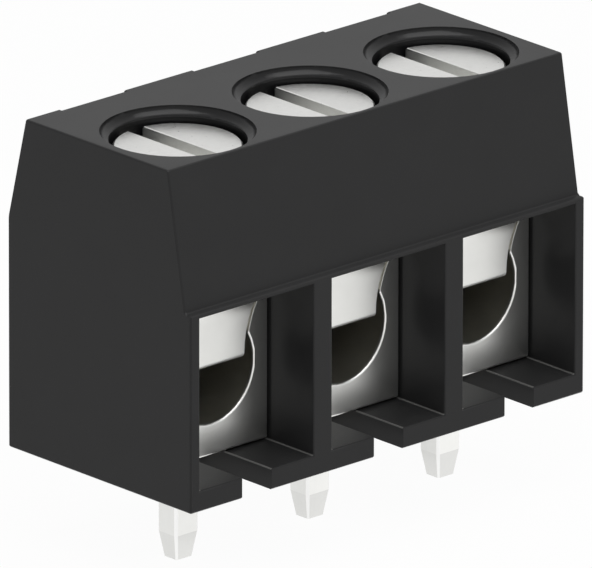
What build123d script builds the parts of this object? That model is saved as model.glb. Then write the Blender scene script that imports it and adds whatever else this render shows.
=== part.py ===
from build123d import *
import math
import os

# Printed circuit board terminal block with three poles, in millimetres.
# X runs along the row, the wires enter from -Y and the screws turn about Z.
# The origin is on the middle solder pin's axis, in the plane of the board.

# The row
pole_count = 3
pole_pitch = 5.0

# Outside of the housing, with setbacks measured from its front and back faces
housing_depth = 7.6
housing_height = 9.9
front_to_pin = 3.27
front_frame_step = 0.24
top_front_setback = 0.94
back_wall_height = 6.86
top_back_setback = 0.74
outer_edge_chamfer = 0.05
back_groove_width = 2.5
back_groove_depth = 0.15

# Window and cavity for one clamp
partition_thickness = 0.7
window_height = 5.08
sill_height = 0.62
window_rim = 0.15
clamp_rear_clearance = 0.3
window_edge_radius = 0.05
snap_bead_radius = 0.1

# Slot in the sill that the solder pin slides along
pin_slot_clearance = 0.12

# Well above each screw
head_clearance = 0.12
well_cove_radius = 0.25

# Clamping screw
head_diameter = 3.66
head_height = 1.4
head_sink = 0.39
head_rim_chamfer = 0.07
slot_width = 0.57
slot_depth = 0.8
thread_diameter = 2.0
tip_diameter = 1.55
tip_length = 0.7
tip_chamfer = 0.12
thread_clearance = 0.02

# Wire guard, a front plate with a lanced tongue and a flange over the clamp body
sheet = 0.12
guard_side_clearance = 0.075
guard_bottom_clearance = 0.06
guard_plate_setback = 1.85
guard_top_clearance = 0.11
guard_flange_length = 3.1
guard_bend_radius = 0.2
flange_hole_clearance = 0.15
wire_hole_radius = 1.565
wire_hole_web = 0.935
tongue_root_cover = 0.54
tongue_root_half_width = 1.65
tongue_half_width = 1.22
tongue_kerf = 0.09
tongue_bend_radius = 0.09
tongue_above_hole_centre = 0.15
screw_rest_gap = 0.035

# Clamp body, a drawn brass section cut to length
clamp_side_clearance = 0.05
clamp_length = 4.1
chamber_margin = 0.07
thread_bar_height = 1.45
clamp_edge_radius = 0.12

# Solder pin, staked in the clamp body's floor
pin_width = 0.88
pin_thickness = 0.79
pin_length = 2.7
pin_edge_chamfer = 0.07
pin_taper_length = 0.77
pin_tip_share = 0.69

# Places worked out from the sizes above
row_width = pole_count * pole_pitch
window_width = pole_pitch - partition_thickness
front_y = -front_to_pin
back_y = front_y + housing_depth
plate_y = front_y + guard_plate_setback
clamp_front_y = plate_y + sheet
clamp_rear_y = clamp_front_y + clamp_length
cavity_rear_y = clamp_rear_y + clamp_rear_clearance
window_top = sill_height + window_height
front_frame_height = window_top + window_rim
clamp_top = window_top - guard_top_clearance - sheet
guard_bottom = sill_height + guard_bottom_clearance
wire_hole_height = guard_bottom + wire_hole_web + wire_hole_radius
tongue_root_height = clamp_top - tongue_root_cover
tongue_floor_height = wire_hole_height + tongue_above_hole_centre
tongue_flat_end = tongue_floor_height + tongue_bend_radius
chamber_radius = wire_hole_radius + chamber_margin
chamber_floor = wire_hole_height - chamber_radius
chamber_ceiling = clamp_top - thread_bar_height
well_radius = head_diameter / 2 + head_clearance
head_top = housing_height - head_sink
head_bottom = head_top - head_height
tongue_top = tongue_floor_height + sheet / 2
screw_tip = tongue_top + screw_rest_gap
pole_places = [(pole - (pole_count - 1) / 2) * pole_pitch for pole in range(pole_count)]


def block(width, y_from, y_to, z_from, z_to):
    """A rectangular solid centred on X between two depths and two heights."""
    centre = (0, (y_from + y_to) / 2, (z_from + z_to) / 2)
    return Pos(*centre) * Box(width, y_to - y_from, z_to - z_from)


def side_profile(inset=0.0):
    """The housing's end outline, with its back moved inwards by a groove's depth."""
    points = [
        (front_y, 0),
        (front_y, front_frame_height),
        (front_y + front_frame_step, front_frame_height),
        (front_y + top_front_setback, housing_height),
        (back_y - top_back_setback - inset, housing_height),
        (back_y - inset, back_wall_height),
        (back_y - inset, 0),
    ]
    return Plane.YZ * make_face(Polyline(*points, close=True))


def back_groove():
    """The shallow band that is taken out of the slanted and upright back of a pole."""
    width = back_groove_width
    whole = extrude(side_profile(), amount=width / 2, both=True)
    kept = extrude(side_profile(back_groove_depth), amount=width / 2, both=True)
    return whole - kept


def screw_well():
    """The well down to the clamp cavity, with a cove cut round its mouth."""
    mouth_radius = well_radius + well_cove_radius
    cove_floor = housing_height - well_cove_radius
    cove = CenterArc((well_radius, housing_height), well_cove_radius, start_angle=270, arc_size=90)
    outline = cove + Polyline(
        (mouth_radius, housing_height),
        (0, housing_height),
        (0, window_top),
        (well_radius, window_top),
        (well_radius, cove_floor),
    )
    return revolve(Plane.XZ * make_face(outline), Axis.Z)


def pin_slot():
    """The slot in the sill, open in front and rounded behind the pin."""
    width = pin_width + 2 * pin_slot_clearance
    straight = block(width, front_y, 0, 0, sill_height)
    end = Pos(0, 0, sill_height / 2) * Cylinder(width / 2, sill_height)
    return straight + end


def snap_bead():
    """The half-round bead on the cavity's ceiling that keeps the clamp from sliding out."""
    bead_y = plate_y - snap_bead_radius
    rod = Rot(0, 90, 0) * Cylinder(snap_bead_radius, window_width)
    return Pos(0, bead_y, window_top) * rod


def housing():
    """The one moulded housing of the whole row."""
    outside = extrude(side_profile(), amount=row_width / 2, both=True)
    end_edges = outside.faces().sort_by(Axis.X)[-1].edges() + outside.faces().sort_by(Axis.X)[0].edges()
    long_edges = outside.edges().filter_by(Axis.X)
    body = chamfer(end_edges + long_edges, outer_edge_chamfer)
    for x in pole_places:
        cavity = block(window_width, front_y, cavity_rear_y, sill_height, window_top)
        body -= Pos(x, 0, 0) * (cavity + screw_well() + pin_slot() + back_groove())
    for x in pole_places:
        body += Pos(x, 0, 0) * snap_bead()
    in_front = body.edges().filter_by_position(Axis.Y, front_y - 0.001, front_y + 0.001)
    window_edges = in_front.filter_by_position(Axis.Z, sill_height, window_top)
    return fillet(window_edges, window_edge_radius)


def screw():
    """A cheese-head screw with a blade slot along Y and a plain tip."""
    thread_end = screw_tip + tip_length
    radius = head_diameter / 2
    points = [
        (0, head_top),
        (radius - head_rim_chamfer, head_top),
        (radius, head_top - head_rim_chamfer),
        (radius, head_bottom),
        (thread_diameter / 2, head_bottom),
        (thread_diameter / 2, thread_end),
        (tip_diameter / 2, thread_end - (thread_diameter - tip_diameter) / 2),
        (tip_diameter / 2, screw_tip + tip_chamfer),
        (tip_diameter / 2 - tip_chamfer, screw_tip),
        (0, screw_tip),
    ]
    turned = revolve(Plane.XZ * make_face(Polyline(*points, close=True)), Axis.Z)
    slot = block(slot_width, -radius, radius, head_top - slot_depth, head_top)
    return turned - slot


def flap_face(side_gap=0.0):
    """The upright part of the tongue, or what it leaves with a gap beside it. It widens upwards."""
    foot = (tongue_half_width + side_gap, tongue_flat_end)
    root = (tongue_root_half_width + side_gap, tongue_root_height)
    right = TangentArc(foot, root, tangent=(0, 1))
    left = mirror(right, Plane.YZ)
    return make_face(right + left + Line(right @ 0, left @ 0) + Line(right @ 1, left @ 1))


def opening():
    """The hole for the wire and the slits that free the tongue from the plate, seen from the front."""
    hole = Pos(0, wire_hole_height) * Circle(wire_hole_radius)
    return hole + flap_face(tongue_kerf) - flap_face()


def guard_plate():
    """The front plate with the upright part of its tongue, and the flange over the clamp body."""
    width = window_width - 2 * guard_side_clearance
    middle = plate_y + sheet / 2
    flange_height = clamp_top + sheet / 2
    path = FilletPolyline(
        (middle, guard_bottom),
        (middle, flange_height),
        (middle + guard_flange_length, flange_height),
        radius=guard_bend_radius,
    )
    bent = extrude(Plane.YZ * trace(path, sheet), amount=width / 2, both=True)
    cut = extrude(Plane.XZ * opening(), amount=2 * sheet, both=True)
    hole_radius = thread_diameter / 2 + flange_hole_clearance
    screw_hole = Pos(0, 0, flange_height) * Cylinder(hole_radius, 4 * sheet)
    return bent - Pos(0, middle, 0) * cut - screw_hole


def guard_tongue():
    """The rest of the blank, bent back under the screw, with its round end."""
    middle = plate_y + sheet / 2
    bend_end = (middle + tongue_bend_radius, tongue_floor_height)
    bend = TangentArc((middle, tongue_flat_end), bend_end, tangent=(0, -1))
    blank_radius = wire_hole_radius - tongue_kerf
    blank_end = wire_hole_height - blank_radius
    run_length = tongue_flat_end - blank_end - bend.length
    reach_end = (bend_end[0] + run_length, tongue_floor_height)
    section = trace(bend, sheet) + trace(Line(bend_end, reach_end), sheet)
    strip = extrude(Plane.YZ * section, amount=tongue_half_width, both=True)
    end_disc = Pos(0, reach_end[0] - blank_radius, tongue_floor_height) * Cylinder(blank_radius, 4 * sheet)
    return strip & end_disc


def wire_guard():
    """Front plate, flange and tongue are one stamped and bent sheet."""
    return guard_plate() + guard_tongue()


def clamp_body():
    """The cage behind the guard: thread bar, cheeks, wire chamber and floor."""
    width = window_width - 2 * clamp_side_clearance
    cage = block(width, clamp_front_y, clamp_rear_y, sill_height, clamp_top)
    cage = fillet(cage.edges().filter_by(Axis.Y), clamp_edge_radius)
    top_front_edge = cage.faces().sort_by(Axis.Y)[0].edges().sort_by(Axis.Z)[-1]
    cage = fillet(top_front_edge, guard_bend_radius - sheet / 2)
    chamber_face = Pos(0, wire_hole_height) * Circle(chamber_radius)
    chamber_face -= Pos(0, chamber_ceiling) * Rectangle(
        4 * chamber_radius, 2 * chamber_radius, align=(Align.CENTER, Align.MIN)
    )
    chamber = Pos(0, clamp_rear_y, 0) * extrude(Plane.XZ * chamber_face, amount=clamp_length)
    bore_radius = thread_diameter / 2 + thread_clearance
    bore_height = clamp_top - wire_hole_height
    bore = Pos(0, 0, clamp_top - bore_height / 2) * Cylinder(bore_radius, bore_height)
    pin_hole = block(pin_width, -pin_thickness / 2, pin_thickness / 2, sill_height, wire_hole_height)
    return cage - chamber - bore - pin_hole


def solder_pin():
    """A rectangular pin with broken edges, staked in the clamp body and tapered at its tip."""
    top = chamber_floor
    shank_end = -pin_length + pin_taper_length
    section = Rectangle(pin_width, pin_thickness)
    section = chamfer(section.vertices(), pin_edge_chamfer)
    shank = Pos(0, 0, shank_end) * extrude(section, amount=top - shank_end)
    tip_section = scale(section, by=pin_tip_share)
    taper = loft([Pos(0, 0, -pin_length) * tip_section, Pos(0, 0, shank_end) * section])
    return shank + taper


os.makedirs("parts", exist_ok=True)
export_step(housing(), "parts/housing.step")
for number, x in enumerate(pole_places, start=1):
    export_step(Pos(x, 0, 0) * screw(), f"parts/screw_{number}.step")
    export_step(Pos(x, 0, 0) * wire_guard(), f"parts/wire_guard_{number}.step")
    export_step(Pos(x, 0, 0) * clamp_body(), f"parts/clamp_body_{number}.step")
    export_step(Pos(x, 0, 0) * solder_pin(), f"parts/solder_pin_{number}.step")
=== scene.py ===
import math

import bmesh
import bpy
from mathutils import Matrix, Vector


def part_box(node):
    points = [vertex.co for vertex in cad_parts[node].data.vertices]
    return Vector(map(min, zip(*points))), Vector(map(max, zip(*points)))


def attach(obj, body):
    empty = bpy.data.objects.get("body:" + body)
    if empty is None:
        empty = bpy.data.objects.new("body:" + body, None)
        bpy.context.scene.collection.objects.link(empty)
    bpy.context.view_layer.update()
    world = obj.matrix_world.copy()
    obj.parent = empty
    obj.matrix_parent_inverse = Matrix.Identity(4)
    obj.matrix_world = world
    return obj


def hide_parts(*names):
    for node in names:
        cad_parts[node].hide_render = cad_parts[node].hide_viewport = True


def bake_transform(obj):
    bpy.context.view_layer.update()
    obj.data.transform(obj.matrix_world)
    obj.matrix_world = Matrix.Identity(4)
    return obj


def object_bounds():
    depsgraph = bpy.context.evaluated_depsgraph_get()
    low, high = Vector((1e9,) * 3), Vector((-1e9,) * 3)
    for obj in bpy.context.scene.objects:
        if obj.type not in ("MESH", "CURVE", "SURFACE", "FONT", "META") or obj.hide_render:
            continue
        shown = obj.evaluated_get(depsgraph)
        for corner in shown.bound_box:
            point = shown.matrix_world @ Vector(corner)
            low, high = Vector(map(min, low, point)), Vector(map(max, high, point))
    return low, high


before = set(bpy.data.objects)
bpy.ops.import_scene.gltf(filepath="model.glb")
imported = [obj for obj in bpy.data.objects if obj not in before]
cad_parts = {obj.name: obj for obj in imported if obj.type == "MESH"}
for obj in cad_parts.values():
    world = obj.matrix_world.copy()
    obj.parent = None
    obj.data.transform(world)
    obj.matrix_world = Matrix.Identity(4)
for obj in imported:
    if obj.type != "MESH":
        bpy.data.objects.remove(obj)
cad_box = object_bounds()


# Housing
# One block of glass-filled polyamide, moulded in charcoal grey in a spark-eroded cavity, which
# leaves a fine even grain. Its window edges and outer edges are only just broken.
MM = 0.001


class Shade:
    """A shader socket that takes part in written sums."""

    def __init__(self, tree, socket):
        self.tree = tree
        self.socket = socket

    def node(self, kind, settings=(), sockets=(), output=0):
        """Adds a node: its settings first, then a value or a link for each of its sockets."""
        made = self.tree.nodes.new(kind)
        for name, value in dict(settings).items():
            setattr(made, name, value)
        for name, value in dict(sockets).items():
            if isinstance(value, Shade):
                self.tree.links.new(value.socket, made.inputs[name])
            else:
                made.inputs[name].default_value = value
        return Shade(self.tree, made.outputs[output])

    def worked_out(self, operation, *values):
        """One step of arithmetic on values or links, in their order."""
        return self.node("ShaderNodeMath", {"operation": operation}, enumerate(values))

    def maths(self, operation, *others):
        """The same with this value first, before any others that the step needs."""
        return self.worked_out(operation, self, *others)

    def __add__(self, other):
        return self.maths("ADD", other)

    def __radd__(self, other):
        return self.worked_out("ADD", other, self)

    def __sub__(self, other):
        return self.maths("SUBTRACT", other)

    def __rsub__(self, other):
        return self.worked_out("SUBTRACT", other, self)

    def __mul__(self, other):
        return self.maths("MULTIPLY", other)

    def __rmul__(self, other):
        return self.worked_out("MULTIPLY", other, self)

    def __truediv__(self, other):
        return self.maths("DIVIDE", other)

    def __rtruediv__(self, other):
        return self.worked_out("DIVIDE", other, self)

    def stretched(self, scale):
        """The same coordinates with each axis multiplied."""
        return self.node("ShaderNodeMapping", sockets={"Vector": self, "Scale": scale})

    def grain(self, size, detail=2.0, roughness=0.5):
        """Noise whose blotches are about that size in metres, from 0 to 1."""
        return self.node(
            "ShaderNodeTexNoise",
            sockets={"Vector": self, "Scale": 1 / size, "Detail": detail, "Roughness": roughness},
        )


def new_finish(name, metallic=1.0):
    """A material with its surface node, and the object coordinates that its pattern reads."""
    material = bpy.data.materials.new(name)
    material.use_nodes = True
    tree = material.node_tree
    surface = tree.nodes["Principled BSDF"]
    surface.inputs["Metallic"].default_value = metallic
    place = Shade(tree, None).node("ShaderNodeTexCoord", output="Object")
    return material, surface, place


def feed(surface, socket, shade):
    """Joins a varying value to one socket of the surface node."""
    shade.tree.links.new(shade.socket, surface.inputs[socket])


def blended(place, share, first, second):
    """A colour between two colours, which are values or links. A Mix node takes them at 6 and 7."""
    ends = [color if isinstance(color, Shade) else (*color, 1) for color in (first, second)]
    sockets = {"Factor": share, 6: ends[0], 7: ends[1]}
    return place.node("ShaderNodeMix", {"data_type": "RGBA"}, sockets, output=2)


def tinted(place, color, share, swing):
    """A colour that varies a little, brighter and darker, with a value from 0 to 1."""
    dark = tuple(c * (1 - swing) for c in color)
    bright = tuple(c * (1 + swing) for c in color)
    return blended(place, share, dark, bright)


def bumped(place, height, depth, under=None):
    """A surface normal from a height of 0 to 1, whose full swing is depth in metres."""
    sockets = {"Distance": depth, "Height": height}
    if under:
        sockets["Normal"] = under
    return place.node("ShaderNodeBump", sockets=sockets)


def along(place, axis):
    """A point's x, y or z in metres, asked for as 0, 1 or 2."""
    return place.node("ShaderNodeSeparateXYZ", sockets={0: place}, output=axis)


def from_pole(place):
    """How far a point is to the side of its own pole's axis, in metres."""
    pitch = 5 * MM
    across = along(place, 0) + pitch / 2
    return across.maths("FLOORED_MODULO", pitch) - pitch / 2


def from_axis(place):
    """How far a point is from its own pole's upright axis, in metres."""
    side, depth = from_pole(place), along(place, 1)
    return (side * side + depth * depth).maths("SQRT")


def sill_highlight_mask(place):
    """1 on the thin lines of painted highlight along the sill's slot and along its corners with the
    walls.
    """
    half_line = 0.032 * MM
    slot_edge = 0.56 * MM
    wall = 2.13 * MM
    sill = 0.615 * MM
    front = -3.24 * MM
    back = -1.3 * MM
    side, depth, height = from_pole(place), along(place, 1), along(place, 2)
    on_edge = side.maths("COMPARE", slot_edge, half_line)
    on_corner = side.maths("ABSOLUTE").maths("COMPARE", wall, half_line)
    on_sill = height.maths("COMPARE", sill, half_line)
    in_window = depth.maths("GREATER_THAN", front) * depth.maths("LESS_THAN", back)
    return (on_edge + on_corner) * on_sill * in_window


def moulded_plastic():
    """Charcoal polyamide with an eroded grain, a glossier coat in the coves, painted shade in the wells
    and thin painted highlight lines at the sill.
    """
    charcoal = (0.03, 0.03, 0.0304)
    painted_well_shade = (0.006, 0.006, 0.0064)
    painted_line_highlight = (0.18, 0.18, 0.175)
    color_swing = 0.12
    patch_share = 0.6
    smoothest = 0.27
    roughness_swing = 0.08
    cove_gloss = 0.36
    grain_size = 0.05 * MM
    grain_depth = 0.0025 * MM
    patch_size = 1.6 * MM
    mouth_radius = 2.2 * MM
    well_floor = 6 * MM
    cove_floor = 9.63 * MM
    material, surface, place = new_finish("charcoal polyamide", metallic=0.0)
    grain = place.grain(grain_size, detail=3.0)
    patch = place.grain(patch_size)
    height = along(place, 2)
    well = from_axis(place).maths("LESS_THAN", mouth_radius) * height.maths("GREATER_THAN", well_floor)
    cove = well * height.maths("GREATER_THAN", cove_floor)
    clouds = patch * patch_share + grain * (1 - patch_share)
    # Painted shade: the wells are drawn much darker than the rest of the block.
    with_well_shade = blended(place, well, tinted(place, charcoal, clouds, color_swing), painted_well_shade)
    # Painted highlight: thin pale lines at the sill's slot edge and its corners with the walls.
    feed(surface, "Base Color", blended(place, sill_highlight_mask(place), with_well_shade, painted_line_highlight))
    feed(surface, "Roughness", smoothest + roughness_swing * patch)
    feed(surface, "Coat Weight", cove_gloss * cove)
    feed(surface, "Normal", bumped(place, grain, grain_depth))
    surface.inputs["Coat Roughness"].default_value = 0.2
    surface.inputs["Specular IOR Level"].default_value = 0.12
    return material


def merged_copy(node):
    """A copy of a solid's mesh with its doubles merged and its flat faces made whole again."""
    doubles = 0.0005 * MM
    flat = math.radians(0.5)
    shape = bmesh.new()
    shape.from_mesh(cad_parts[node].data)
    shape.faces.layers.int.new("rounded")
    bmesh.ops.remove_doubles(shape, verts=shape.verts, dist=doubles)
    bmesh.ops.dissolve_limit(
        shape, angle_limit=flat, verts=shape.verts, edges=shape.edges, delimit=set()
    )
    return shape


SHARP_DEGREES = 50


def is_sharp(edge, degrees=SHARP_DEGREES):
    return len(edge.link_faces) == 2 and edge.calc_face_angle() > math.radians(degrees)


def sharp_edges(shape, degrees=SHARP_DEGREES):
    return [edge for edge in shape.edges if is_sharp(edge, degrees)]


def break_edges(shape, edges, width, segments=2):
    """Rounds a list of edges by a small width, and marks the faces that this makes."""
    made = bmesh.ops.bevel(
        shape,
        geom=edges,
        offset=width,
        offset_type="WIDTH",
        segments=segments,
        profile=0.5,
        affect="EDGES",
        clamp_overlap=True,
        loop_slide=True,
        miter_outer="ARC",
    )
    mark = shape.faces.layers.int["rounded"]
    for face in made["faces"]:
        face[mark] = 1


def shade_evenly(mesh, rounded):
    """Keeps flat faces flat in the shading and runs each rounded edge smoothly into them."""
    smooth = math.cos(math.radians(SHARP_DEGREES))
    around = [[] for vert in mesh.vertices]
    for face in mesh.polygons:
        for index in face.vertices:
            around[index].append(face)
    normals = []
    for face in mesh.polygons:
        for index in face.vertices:
            near = [other for other in around[index] if other.normal.dot(face.normal) > smooth]
            plain = [other for other in near if not rounded[other.index]]
            total = sum((other.normal * other.area for other in plain or near), Vector())
            normals.append(total.normalized())
    mesh.shade_smooth()
    mesh.normals_split_custom_set(normals)


def finished_piece(name, shape, material, body, node):
    """Turns a shape into a piece that stands for its solid, and rides on a body where it has one."""
    mark = shape.faces.layers.int["rounded"]
    rounded = [face[mark] for face in shape.faces]
    mesh = bpy.data.meshes.new(name)
    shape.to_mesh(mesh)
    shape.free()
    shade_evenly(mesh, rounded)
    mesh.materials.append(material)
    piece = bpy.data.objects.new(name, mesh)
    bpy.context.scene.collection.objects.link(piece)
    if body:
        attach(piece, body)
    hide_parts(node)
    return piece


def make_housing():
    broken_edge = 0.035 * MM
    shape = merged_copy("housing")
    break_edges(shape, sharp_edges(shape), broken_edge)
    finished_piece("moulded_housing", shape, moulded_plastic(), "block", "housing")


make_housing()


# Clamp bodies
# Short lengths of drawn brass section, nickel plated, drilled and tapped from above. Each sits
# behind its wire guard in the housing and takes the pull of the screw.
POLES = (1, 2, 3)


def nickel_plate():
    """Dull nickel over drawn brass, with faint lines along the direction of drawing."""
    nickel = (0.8, 0.78, 0.7)
    color_swing = 0.08
    smoothest = 0.3
    roughness_swing = 0.16
    drawn = (1.0, 0.06, 1.0)
    line_width = 0.04 * MM
    line_depth = 0.001 * MM
    cloud_size = 0.5 * MM
    material, surface, place = new_finish("nickel plate")
    lines = place.stretched(drawn).grain(line_width, detail=3.0)
    feed(surface, "Base Color", tinted(place, nickel, place.grain(cloud_size), color_swing))
    feed(surface, "Roughness", smoothest + roughness_swing * lines)
    feed(surface, "Normal", bumped(place, lines, line_depth))
    return material


def make_clamp_bodies():
    sawn_edge = 0.03 * MM
    nickel = nickel_plate()
    for pole in POLES:
        node = f"clamp_body_{pole}"
        shape = merged_copy(node)
        break_edges(shape, sharp_edges(shape), sawn_edge)
        finished_piece(f"clamp_cage_{pole}", shape, nickel, "block", node)


make_clamp_bodies()


# Wire guards
# Thin bright strip, stamped and bent in one piece: a front plate, a flange over the clamp body,
# and the blank of the keyhole opening, slit free at its sides and bent back under the screw.
TONGUE_ROOT = 4.9 * MM


def bright_strip(name, burnish):
    """Rolled strip with fine lines, which the punch leaves satin and a little twisted on the tongue."""
    strip = (0.95, 0.95, 0.92)
    color_swing = 0.05
    smoothest = 0.3
    roughness_swing = 0.06
    satin_roughness = 0.08
    satin_loss = 0.1
    rolled = (1.0, 1.0, 0.05)
    line_width = 0.03 * MM
    line_depth = 0.0003 * MM
    cloud_size = 0.7 * MM
    pressed = 4.5 * MM
    half_width = 1.3 * MM
    twist = 0.13 * MM
    material, surface, place = new_finish(name)
    lines = place.stretched(rolled).grain(line_width, detail=3.0)
    satin = place.node(
        "ShaderNodeMapRange",
        {"interpolation_type": "SMOOTHSTEP"},
        {
            "Value": along(place, 2),
            "From Min": TONGUE_ROOT,
            "From Max": pressed,
            "To Min": 0.0,
            "To Max": burnish,
        },
    )
    straight = place.node("ShaderNodeNewGeometry", output="Normal")
    twisted = bumped(place, from_pole(place) / half_width, twist)
    sockets = {"Factor": satin, 4: straight, 5: twisted}
    leaning = place.node("ShaderNodeMix", {"data_type": "VECTOR"}, sockets, output=1)
    feed(surface, "Base Color", tinted(place, strip, place.grain(cloud_size), color_swing))
    feed(surface, "Roughness", smoothest + roughness_swing * lines + satin_roughness * satin)
    feed(surface, "Metallic", 1.0 - satin_loss * satin)
    feed(surface, "Normal", bumped(place, lines, line_depth, leaning))
    return material


def softened_guard(node):
    """The stamped sheet: its opening and foot are drawn over a little, its slits are crisp."""
    drawn_edge = 0.09 * MM
    slit_edge = 0.02 * MM
    opening_radius = 1.565 * MM
    opening_height = 3.18 * MM
    low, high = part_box(node)
    opening = Vector(((low.x + high.x) / 2, low.y, opening_height))
    near = 0.01 * MM
    shape = merged_copy(node)
    drawn = []
    for edge in shape.edges:
        ends = [vert.co for vert in edge.verts]
        in_front = all(abs(end.y - low.y) < near for end in ends)
        on_foot = all(abs(end.z - low.z) < near for end in ends)
        on_rim = all(abs((end - opening).length - opening_radius) < near for end in ends)
        if in_front and is_sharp(edge) and (on_foot or on_rim):
            drawn.append(edge)
    break_edges(shape, drawn, drawn_edge, segments=3)
    break_edges(shape, sharp_edges(shape), slit_edge)
    return shape


def cut_across(shape, faces, place, normal):
    """Cuts the faces where a plane crosses them."""
    near = 0.0002 * MM
    edges = {edge for face in faces for edge in face.edges}
    verts = {vert for face in faces for vert in face.verts}
    bmesh.ops.bisect_plane(
        shape,
        geom=[*verts, *edges, *faces],
        dist=near,
        plane_co=place,
        plane_no=normal,
    )


def faces_below(shape, start, height):
    """The faces that hang together with a first one, up to the cut at a height."""
    near = 0.0005 * MM
    found = {start}
    waiting = [start]
    while waiting:
        for edge in waiting.pop().edges:
            if all(abs(vert.co.z - height) < near for vert in edge.verts):
                continue
            fresh = [face for face in edge.link_faces if face not in found]
            found.update(fresh)
            waiting.extend(fresh)
    return found


def make_wire_guards():
    """The plate rides on the block with the clamp body; the tongue is a loose piece, cut across in short
    steps along its run.
    """
    strip = bright_strip("bright strip", 0.0)
    satin = bright_strip("satin strip", 1.0)
    upward = 0.99
    bend_step = 0.08 * MM
    sheet = 0.12 * MM
    bend_reach = 0.7 * MM
    for pole in POLES:
        node = f"wire_guard_{pole}"
        low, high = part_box(node)
        plate = softened_guard(node)
        cut_across(plate, list(plate.faces), Vector((0, 0, TONGUE_ROOT)), Vector((0, 0, 1)))
        level = [face for face in plate.faces if face.normal.z > upward]
        run = [face for face in level if face.calc_center_median().z < TONGUE_ROOT]
        tip = max(run, key=lambda face: face.calc_center_median().y)
        kept = {face.index for face in faces_below(plate, tip, TONGUE_ROOT)}
        tongue = plate.copy()
        tongue.faces.ensure_lookup_table()
        plate.faces.ensure_lookup_table()
        bmesh.ops.delete(plate, geom=[plate.faces[i] for i in kept], context="FACES")
        rest = [face for face in tongue.faces if face.index not in kept]
        bmesh.ops.delete(tongue, geom=rest, context="FACES")
        place = low.y + sheet
        while place < low.y + sheet + bend_reach:
            place += bend_step
            cut_across(tongue, list(tongue.faces), Vector((0, place, 0)), Vector((0, 1, 0)))
        finished_piece(f"guard_plate_{pole}", plate, strip, "block", node)
        piece = finished_piece(f"guard_tongue_{pole}", tongue, satin, None, node)
        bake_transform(piece)


make_wire_guards()


# Screws
# Cheese-head screws of zinc-plated steel, with a sawn slot and a rolled thread. They stand with
# their heads just under the housing's top face.
def zinc_plate(head_top):
    """Bright zinc with the fine mottle of a barrel-plated part, and dull in the sawn slot."""
    zinc = (0.94, 0.94, 0.92)
    color_swing = 0.09
    mottle_share = 0.7
    smoothest = 0.22
    roughness_swing = 0.18
    sawn_roughness = 0.1
    mottle_size = 0.12 * MM
    mottle_depth = 0.0025 * MM
    cloud_size = 0.9 * MM
    inside_head = 1.77 * MM
    below_face = 0.06 * MM
    material, surface, place = new_finish("zinc plate")
    mottle = place.grain(mottle_size, detail=4.0, roughness=0.6)
    clouds = mottle * mottle_share + place.grain(cloud_size) * (1 - mottle_share)
    below = along(place, 2).maths("LESS_THAN", head_top - below_face)
    slot = from_axis(place).maths("LESS_THAN", inside_head) * below
    feed(surface, "Base Color", tinted(place, zinc, clouds, color_swing))
    feed(surface, "Roughness", smoothest + roughness_swing * mottle + sawn_roughness * slot)
    feed(surface, "Normal", bumped(place, mottle, mottle_depth))
    return material


def thread_tree():
    """Winds a rolled thread: a sheet bent round the core, whose radius follows a helix."""
    columns = 65
    rows = 113
    seam = 0.001 * MM
    tree = bpy.data.node_groups.new("rolled thread", "GeometryNodeTree")
    tree.interface.new_socket("Geometry", in_out="OUTPUT", socket_type="NodeSocketGeometry")
    for name in ("Core Radius", "Ridge Height", "Pitch", "Length"):
        tree.interface.new_socket(name, in_out="INPUT", socket_type="NodeSocketFloat")
    tree.interface.new_socket("Finish", in_out="INPUT", socket_type="NodeSocketMaterial")
    given = tree.nodes.new("NodeGroupInput")
    core, ridge, pitch, length, finish = (Shade(tree, given.outputs[i]) for i in range(5))
    start = Shade(tree, None)
    sheet = start.node(
        "GeometryNodeMeshGrid",
        sockets={"Size X": 1.0, "Size Y": length, "Vertices X": columns, "Vertices Y": rows},
    )
    flat = start.node("GeometryNodeInputPosition")
    turn = along(flat, 0) + 0.5
    height = along(flat, 1) + length * 0.5
    wave = 2 * (height / pitch - turn).maths("PINGPONG", 0.5)
    fade = height.maths("MINIMUM", length - height) / pitch
    radius = core + ridge * wave * fade.maths("MINIMUM", 1.0)
    angle = math.tau * turn
    bent = start.node(
        "ShaderNodeCombineXYZ",
        sockets={
            "X": radius * angle.maths("COSINE"),
            "Y": radius * angle.maths("SINE"),
            "Z": height,
        },
    )
    wound = start.node("GeometryNodeSetPosition", sockets={"Geometry": sheet, "Position": bent})
    joined = start.node("GeometryNodeMergeByDistance", sockets={"Geometry": wound, "Distance": seam})
    solid = start.node("GeometryNodeRealizeInstances", sockets={"Geometry": joined})
    plated = start.node("GeometryNodeSetMaterial", sockets={"Geometry": solid, "Material": finish})
    tree.links.new(plated.socket, tree.nodes.new("NodeGroupOutput").inputs["Geometry"])
    return tree


def wound_thread(sizes, finish):
    """One thread as a mesh, standing on the origin."""
    tree = thread_tree()
    holder = bpy.data.objects.new("thread", bpy.data.meshes.new("thread"))
    bpy.context.scene.collection.objects.link(holder)
    winding = holder.modifiers.new("thread", "NODES")
    winding.node_group = tree
    for socket in tree.interface.items_tree:
        if socket.in_out == "INPUT":
            winding[socket.identifier] = sizes.get(socket.name, finish)
    seen = holder.evaluated_get(bpy.context.evaluated_depsgraph_get())
    mesh = bpy.data.meshes.new_from_object(seen)
    bpy.data.objects.remove(holder)
    return mesh


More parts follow.
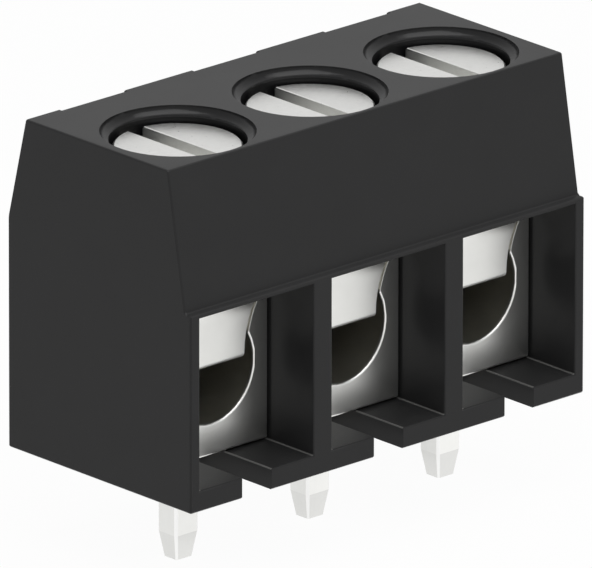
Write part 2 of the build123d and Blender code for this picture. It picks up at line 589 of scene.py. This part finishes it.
def make_screws():
    """The shank is turned down to the thread's core, and the thread is wound round it."""
    head_edge = 0.045 * MM
    shank_radius = 1.0 * MM
    core_radius = 0.79 * MM
    pitch = 0.4 * MM
    tip_length = 0.7 * MM
    head_height = 1.4 * MM
    low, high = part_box("screw_2")
    zinc = zinc_plate(high.z)
    length = high.z - low.z - head_height - tip_length
    ridge = shank_radius - core_radius
    sizes = {"Core Radius": core_radius, "Ridge Height": ridge, "Pitch": pitch, "Length": length}
    thread = wound_thread(sizes, zinc)
    for pole in POLES:
        node = f"screw_{pole}"
        low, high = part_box(node)
        axis = Vector(((low.x + high.x) / 2, (low.y + high.y) / 2, 0))
        shape = merged_copy(node)
        break_edges(shape, sharp_edges(shape), head_edge)
        for vert in shape.verts:
            arm = Vector((vert.co.x - axis.x, vert.co.y - axis.y, 0))
            if vert.co.z < high.z - head_height and arm.length > core_radius:
                vert.co -= arm * (1 - core_radius / arm.length)
        winding = thread.copy()
        winding.transform(Matrix.Translation(axis + Vector((0, 0, low.z + tip_length))))
        shape.from_mesh(winding)
        finished_piece(f"cheese_head_screw_{pole}", shape, zinc, node, node)


make_screws()


# Solder pins
# Rectangular pins sheared from brass strip and tin plated. Each is staked in its clamp body's
# floor, and pressed to a taper at the tip so that it finds its hole in the board.
def tin_plate():
    """Satin tin with a painted highlight on the corner edges, painted shade on the taper, and a darker
    tone on the sides that face along the row.
    """
    tin = (0.98, 0.98, 0.955)
    bright = (1.0, 1.0, 0.99)
    side_tone = (0.83, 0.83, 0.81)
    painted_taper_shade = (0.746, 0.746, 0.73)
    taper_shade_share = 0.65
    color_swing = 0.02
    side_tone_swing = 0.04
    smoothest = 0.3
    roughness_swing = 0.14
    rolled = (1.0, 1.0, 0.08)
    line_width = 0.05 * MM
    line_depth = 0.0012 * MM
    cloud_size = 0.4 * MM
    half_width = 0.42 * MM
    edge_reach = 0.755 * MM
    taper_start = -1.93 * MM
    tip = -2.7 * MM
    tip_share = 0.69
    material, surface, place = new_finish("tin plate")
    lines = place.stretched(rolled).grain(line_width, detail=3.0)
    cloud = place.grain(cloud_size)
    off_side = from_pole(place).maths("ABSOLUTE")
    off_middle = along(place, 1).maths("ABSOLUTE")
    height = along(place, 2)
    narrowed = place.node(
        "ShaderNodeMapRange",
        sockets={
            "Value": height,
            "From Min": taper_start,
            "From Max": tip,
            "To Min": 1.0,
            "To Max": tip_share,
        },
    )
    edge = (off_side + off_middle).maths("GREATER_THAN", edge_reach * narrowed)
    flank = off_side.maths("GREATER_THAN", half_width * narrowed)
    taper = height.maths("LESS_THAN", taper_start)
    faces = tinted(place, tin, cloud, color_swing)
    # The sides that face along the row take a darker tone.
    side_faces = tinted(place, side_tone, cloud, side_tone_swing)
    # Painted shade: the taper is drawn darker than the shank.
    with_taper_shade = blended(place, taper_shade_share * taper, blended(place, flank, faces, side_faces), painted_taper_shade)
    # Painted highlight: the corner edges of the pins are drawn near white.
    feed(surface, "Base Color", blended(place, edge, with_taper_shade, bright))
    feed(surface, "Roughness", smoothest + roughness_swing * lines)
    feed(surface, "Normal", bumped(place, lines, line_depth))
    return material


def make_solder_pins():
    pressed_edge = 0.03 * MM
    pressed_degrees = 30
    tin = tin_plate()
    for pole in POLES:
        node = f"solder_pin_{pole}"
        shape = merged_copy(node)
        break_edges(shape, sharp_edges(shape, pressed_degrees), pressed_edge)
        finished_piece(f"tin_pin_{pole}", shape, tin, "block", node)


make_solder_pins()


# Floor and light
# A white sheet just under the pins, a pale sky all round and one broad soft lamp overhead. The
# sheet is drawn nearly white for the camera and in reflections, and still takes a faint shadow.
BLOCK_MIDDLE = Vector((0, 0, 5 * MM))


def white_sheet():
    """White paper that shows almost full white to the camera and in metal."""
    paper_white = (0.86, 0.86, 0.86, 1)
    own_light = 0.965
    material = bpy.data.materials.new("white sheet")
    material.use_nodes = True
    tree = material.node_tree
    paper = tree.nodes["Principled BSDF"]
    paper.inputs["Base Color"].default_value = paper_white
    paper.inputs["Roughness"].default_value = 0.9
    paper.inputs["Specular IOR Level"].default_value = 0.0
    start = Shade(tree, None)
    seen = start.node("ShaderNodeLightPath", output="Is Camera Ray")
    mirrored = start.node("ShaderNodeLightPath", output="Is Glossy Ray")
    whiteness = own_light * (seen + mirrored)
    glow = start.node("ShaderNodeEmission", sockets={"Color": (1, 1, 1, 1), "Strength": 1.0})
    lit = Shade(tree, paper.outputs[0])
    mixed = start.node("ShaderNodeMixShader", sockets={0: whiteness, 1: lit, 2: glow})
    tree.links.new(mixed.socket, tree.nodes["Material Output"].inputs["Surface"])
    return material


def make_floor():
    """The sheet lies just under the lowest point of the part."""
    half = 400 * MM
    gap = 0.01 * MM
    height = cad_box[0].z - gap
    mesh = bpy.data.meshes.new("floor")
    corners = [(-half, -half, height), (half, -half, height), (half, half, height), (-half, half, height)]
    mesh.from_pydata(corners, [], [(0, 1, 2, 3)])
    floor = bpy.data.objects.new("floor", mesh)
    bpy.context.scene.collection.objects.link(floor)
    mesh.materials.append(white_sheet())


def light_sky():
    """White where it is seen, dimmer in reflections, and softest as a light."""
    plain = 0.32
    in_gloss = 0.4
    world = bpy.data.worlds.new("pale sky")
    world.use_nodes = True
    bpy.context.scene.world = world
    tree = world.node_tree
    start = Shade(tree, None)
    seen = start.node("ShaderNodeLightPath", output="Is Camera Ray")
    mirrored = start.node("ShaderNodeLightPath", output="Is Glossy Ray")
    through = start.node("ShaderNodeLightPath", output="Is Transmission Ray")
    strength = plain + (1 - plain) * (seen + through) + in_gloss * mirrored
    sky = tree.nodes["Background"]
    sky.inputs["Color"].default_value = (1, 1, 1, 1)
    tree.links.new(strength.socket, sky.inputs["Strength"])


def hang_lamp():
    """A square lamp above the front edge, turned towards the middle of the block."""
    place = Vector((-6, -36, 119)) * MM
    size = 135 * MM
    power = 0.125
    lamp = bpy.data.lights.new("overhead lamp", "AREA")
    lamp.size = size
    lamp.energy = power
    holder = bpy.data.objects.new("overhead lamp", lamp)
    holder.location = place
    holder.rotation_euler = (BLOCK_MIDDLE - place).to_track_quat("-Z", "Y").to_euler()
    bpy.context.scene.collection.objects.link(holder)


make_floor()
light_sky()
hang_lamp()


# Camera
# A very long lens from the front left, a little above the block, so that its parallel edges stay
# parallel. It stands slightly left of and below the line to the block's middle, which sets the
# block right in the picture.
def set_camera():
    azimuth = math.radians(-42.6)
    elevation = math.radians(19.48)
    roll = math.radians(0.07)
    distance = 737.5 * MM
    across = 0.389 * MM
    above = 0.778 * MM
    back = Vector(
        (
            math.sin(azimuth) * math.cos(elevation),
            -math.cos(azimuth) * math.cos(elevation),
            math.sin(elevation),
        )
    )
    right = Matrix.Rotation(roll, 3, back) @ Vector((math.cos(azimuth), math.sin(azimuth), 0))
    up = back.cross(right)
    lens = bpy.data.cameras.new("long lens")
    lens.sensor_width = 36
    lens.lens = 1600
    lens.clip_start = 0.1
    lens.clip_end = 5
    camera = bpy.data.objects.new("camera", lens)
    turned = Matrix((right, up, back)).transposed().to_4x4()
    place = BLOCK_MIDDLE + back * distance - right * across - up * above
    camera.matrix_world = Matrix.Translation(place) @ turned
    bpy.context.scene.collection.objects.link(camera)
    bpy.context.scene.camera = camera


set_camera()
bpy.context.scene.view_settings.view_transform = "Standard"
